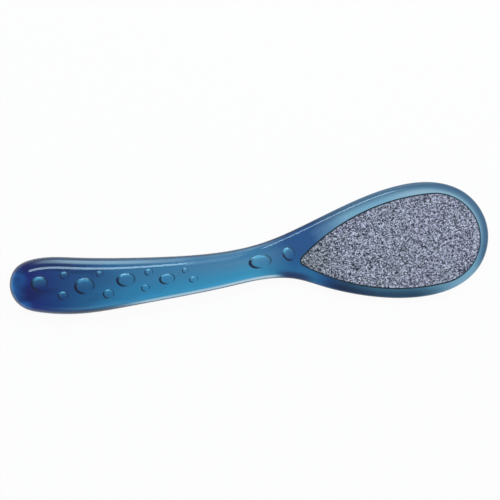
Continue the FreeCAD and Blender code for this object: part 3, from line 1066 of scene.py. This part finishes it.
class FOOTFILE_OT_handle(bpy.types.Operator):
    """Build the clear handle with its recesses and water drops"""

    bl_idname = "footfile.handle"
    bl_label = "Handle"

    def execute(self, context):
        sizes = context.scene.footfile_handle
        pad = context.scene.footfile_abrasive
        form = HandleForm(sizes)
        shell = make_shell(form)
        drops = drops_piece(form, shell)
        piece = new_piece("clear_handle", shell, clear_plastic(sizes))
        coarse, fine = (
            recess_cutter(pad, sizes.recess_gap, sizes.lip, floor, mouth) for floor, mouth in (
                (COARSE_FLOOR + WETTED, form.head_top), (FINE_FLOOR - WETTED, sizes.head_base)))
        tools = ((drops, "UNION"), (coarse, "DIFFERENCE"), (fine, "DIFFERENCE"))
        for tool, operation in tools:
            cut = piece.modifiers.new(tool.name, "BOOLEAN")
            cut.operation = operation
            cut.solver = "EXACT"
            cut.object = tool
        context.view_layer.update()
        depsgraph = context.evaluated_depsgraph_get()
        mesh = bpy.data.meshes.new_from_object(piece.evaluated_get(depsgraph), depsgraph=depsgraph)
        piece.modifiers.clear()
        piece.data = mesh
        mesh.name = "clear_handle"
        mesh.set_sharp_from_angle(angle=SHARP_ANGLE)
        store_edges(mesh, form)
        store_drops(mesh, form)
        store_recess(mesh, pad, sizes.recess_gap)
        for tool, _ in tools:
            bpy.data.objects.remove(tool)
        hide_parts("handle")
        return {"FINISHED"}


# Abrasive

# The sizes of single stones and of the crowds that they stand in.
STONE_SIZE = 0.00048
CROWD_SIZE = 0.0011
# How far grains are moved, and how near the outline they are trimmed, as shares of their spacing.
JITTER = 0.25
TRIM = 0.35


def grain_height(place, seed):
    """Return how high the grains stand at a place, from 0 to 1."""
    x, y = place[0], place[1]
    stone = noise.cell(Vector((x / STONE_SIZE, y / STONE_SIZE, seed)))
    crowd = 0.5 + 0.5 * noise.noise(Vector((x / CROWD_SIZE, y / CROWD_SIZE, seed + 3)))
    return min(1, max(0, 0.55 * stone + 0.45 * crowd))


def grain_sheet(pad, seed, relief):
    """Make the grains: a fine grid trimmed to the teardrop, with its border on the outline."""
    shape = Teardrop(pad, -pad.grain_border)
    spacing = pad.grain_spacing
    rng = random.Random(seed)
    bm = bmesh.new()
    width = 2 * pad.pad_half_width
    bmesh.ops.create_grid(
        bm, x_segments=round(pad.pad_length / spacing), y_segments=round(width / spacing),
        size=0.5)
    bmesh.ops.scale(bm, vec=(pad.pad_length, width, 1), verts=bm.verts[:])
    bmesh.ops.translate(bm, vec=(0.5 * pad.pad_length, 0, 0), verts=bm.verts[:])
    loose = [vert for vert in bm.verts if shape.outside_by(vert.co) > -TRIM * spacing]
    bmesh.ops.delete(bm, geom=loose, context="VERTS")
    stray = [vert for vert in bm.verts if not vert.link_faces]
    bmesh.ops.delete(bm, geom=stray, context="VERTS")
    border = {vert for edge in boundary_of(bm) for vert in edge.verts}
    for vert in bm.verts:
        if vert in border:
            vert.co.x, vert.co.y = shape.nearest(vert.co)
            vert.co.z = 0.5 * relief
        else:
            vert.co.x += rng.uniform(-JITTER, JITTER) * spacing
            vert.co.y += rng.uniform(-JITTER, JITTER) * spacing
            vert.co.z = relief * (0.6 * grain_height(vert.co, seed) + 0.4 * rng.random())
    return bm


def grain_piece(node, pad, seed, relief, material):
    """Make the layer of grains that stands for a node, from its inner face to its outer face."""
    low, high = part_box(node)
    inner, outer = (low.z, high.z) if node == "coarse_grit" else (high.z, low.z)
    outwards = 1 if outer > inner else -1
    bm = grain_sheet(pad, seed, relief)
    for vert in bm.verts:
        vert.co.z = outer - outwards * (relief - vert.co.z)
    for vert in extrude_border(bm):
        vert.co.z = inner
    close_on_head(bm, pad)
    piece = new_piece(f"{node}_grains", bm, material, smooth=False)
    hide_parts(node)


class FOOTFILE_OT_abrasive(bpy.types.Operator):
    """Build the coarse and the fine layer of grains"""

    bl_idname = "footfile.abrasive"
    bl_label = "Abrasive"

    def execute(self, context):
        pad = context.scene.footfile_abrasive
        for node, seed, relief, scale, contrast in (
                ("coarse_grit", 11, pad.coarse_relief, 2000, 0.88),
                ("fine_grit", 23, pad.fine_relief, 2600, 0.75)):
            material = abrasive_grains(pad, f"{node}_grains", scale, contrast)
            grain_piece(node, pad, seed, relief, material)
        return {"FINISHED"}


class FOOTFILE_OT_sheets(bpy.types.Operator):
    """Give the backing and adhesive sheets their finishes"""

    bl_idname = "footfile.sheets"
    bl_label = "Backing and adhesive"

    def execute(self, context):
        pad = context.scene.footfile_abrasive
        for kind, material in (("backing", backing_film(pad)), ("adhesive", adhesive_film(pad))):
            for side in ("coarse", "fine"):
                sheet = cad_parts[f"{side}_{kind}"]
                if not sheet.material_slots:
                    sheet.data.materials.append(material)
                for slot in sheet.material_slots:
                    slot.material = material
        return {"FINISHED"}


# Stage

# Half the floor's side, and how far it lies below the file.
FLOOR_SIZE = 3.0
FLOOR_DROP = 0.0001
KEY_PLACE, KEY_SIZE = (0.62, 0.45, 0.62), (0.7, 0.5)
STRIP_PLACE, STRIP_AIM, STRIP_SIZE = (-0.12, 0.46, 0.60), (-0.12, 0, 0), (0.46, 0.13)
STRIP_COLOUR = (0.62, 0.86, 1)
SKY_COLOUR = (0.93, 0.96, 1)
# The way to the sky's bright side, and the cosines between which it brightens.
BRIGHT_WAY = (0.1, 0.965, 0.24)
BRIGHT_RANGE = (0.93, 0.985)


class FOOTFILE_OT_stage(bpy.types.Operator):
    """Set up the floor, the lamps and the camera"""

    bl_idname = "footfile.stage"
    bl_label = "Stage"

    def execute(self, context):
        settings = context.scene.footfile_stage
        self.add_floor(settings)
        self.add_sky(context, settings)
        # The soft box lights without showing in the gloss; the narrow strip shows instead.
        key = self.add_lamp("key_lamp", KEY_PLACE, (0, 0, 0), KEY_SIZE, settings.key_power)
        key.visible_glossy = False
        strip = self.add_lamp(
            "strip_lamp", STRIP_PLACE, STRIP_AIM, STRIP_SIZE, settings.strip_power)
        strip.data.color = STRIP_COLOUR
        self.add_camera(context, settings)
        context.scene.view_settings.view_transform = "Standard"
        return {"FINISHED"}

    def add_floor(self, settings):
        bm = bmesh.new()
        bmesh.ops.create_grid(bm, x_segments=8, y_segments=8, size=FLOOR_SIZE)
        bmesh.ops.translate(bm, vec=(0, 0, -FLOOR_DROP), verts=bm.verts[:])
        floor = mesh_object("floor", bm)
        floor.data.materials.append(white_stage(settings))

    def add_sky(self, context, settings):
        """Add a dim sky with a bright side, seen as plain white, also through the plastic."""
        sky = Finish(bpy.data.worlds.new("sky"))
        facing = sky.amount("ShaderNodeVectorMath", {"operation": "DOT_PRODUCT"}, {
            0: sky.node("ShaderNodeTexCoord").outputs["Generated"], 1: BRIGHT_WAY}, "Value")
        side = sky.eased(facing, *BRIGHT_RANGE)
        dim = sky.node("ShaderNodeBackground", {}, {
            "Color": SKY_COLOUR,
            "Strength": settings.sky + side * (settings.bright_sky - settings.sky)})
        white = sky.node("ShaderNodeBackground", {}, {"Strength": 1})
        plain = sky.ray("Camera") + sky.ray("Transmission")
        sky.node("ShaderNodeOutputWorld", {}, {"Surface": sky.mix_shaders(plain, dim, white)})
        context.scene.world = sky.owner

    def add_lamp(self, name, place, aim, size, power):
        light = bpy.data.lights.new(name, "AREA")
        light.shape = "RECTANGLE"
        light.size, light.size_y = size
        light.energy = power
        lamp = bpy.data.objects.new(name, light)
        lamp.location = place
        lamp.rotation_euler = (Vector(aim) - Vector(place)).to_track_quat("-Z", "Y").to_euler()
        bpy.context.scene.collection.objects.link(lamp)
        return lamp

    def add_camera(self, context, settings):
        data = bpy.data.cameras.new("camera")
        data.lens = settings.lens
        camera = bpy.data.objects.new("camera", data)
        distance = settings.picture_width * data.lens / data.sensor_width
        camera.location = Vector(settings.focus) + Vector((0, 0, distance))
        camera.rotation_euler = (0, 0, -settings.roll)
        data.clip_start, data.clip_end = 0.01, 10
        context.scene.collection.objects.link(camera)
        context.scene.camera = camera


class FOOTFILE_PT_panel(bpy.types.Panel):
    """The foot file's pieces and sizes in the sidebar"""

    bl_idname = "FOOTFILE_PT_panel"
    bl_label = "Foot file"
    bl_space_type = "VIEW_3D"
    bl_region_type = "UI"
    bl_category = "Foot File"

    def draw(self, context):
        layout = self.layout
        for operator in STEPS:
            layout.operator(operator.bl_idname)
        for group in GROUPS:
            box = layout.box()
            owner = getattr(context.scene, group)
            for name in owner.bl_rna.properties.keys():
                if name not in ("name", "rna_type"):
                    box.prop(owner, name)


STEPS = (FOOTFILE_OT_stage, FOOTFILE_OT_handle, FOOTFILE_OT_abrasive, FOOTFILE_OT_sheets)
GROUPS = {
    "footfile_handle": HandleSettings,
    "footfile_abrasive": AbrasiveSettings,
    "footfile_stage": StageSettings,
}
CLASSES = (*GROUPS.values(), *STEPS, FOOTFILE_PT_panel)


def register():
    for each in CLASSES:
        bpy.utils.register_class(each)
    for name, group in GROUPS.items():
        setattr(bpy.types.Scene, name, bpy.props.PointerProperty(type=group))


def unregister():
    for name in GROUPS:
        delattr(bpy.types.Scene, name)
    for each in reversed(CLASSES):
        bpy.utils.unregister_class(each)


def main():
    register()
    bpy.ops.footfile.stage()
    bpy.ops.footfile.handle()
    bpy.ops.footfile.abrasive()
    bpy.ops.footfile.sheets()


if __name__ == "__main__":
    main()
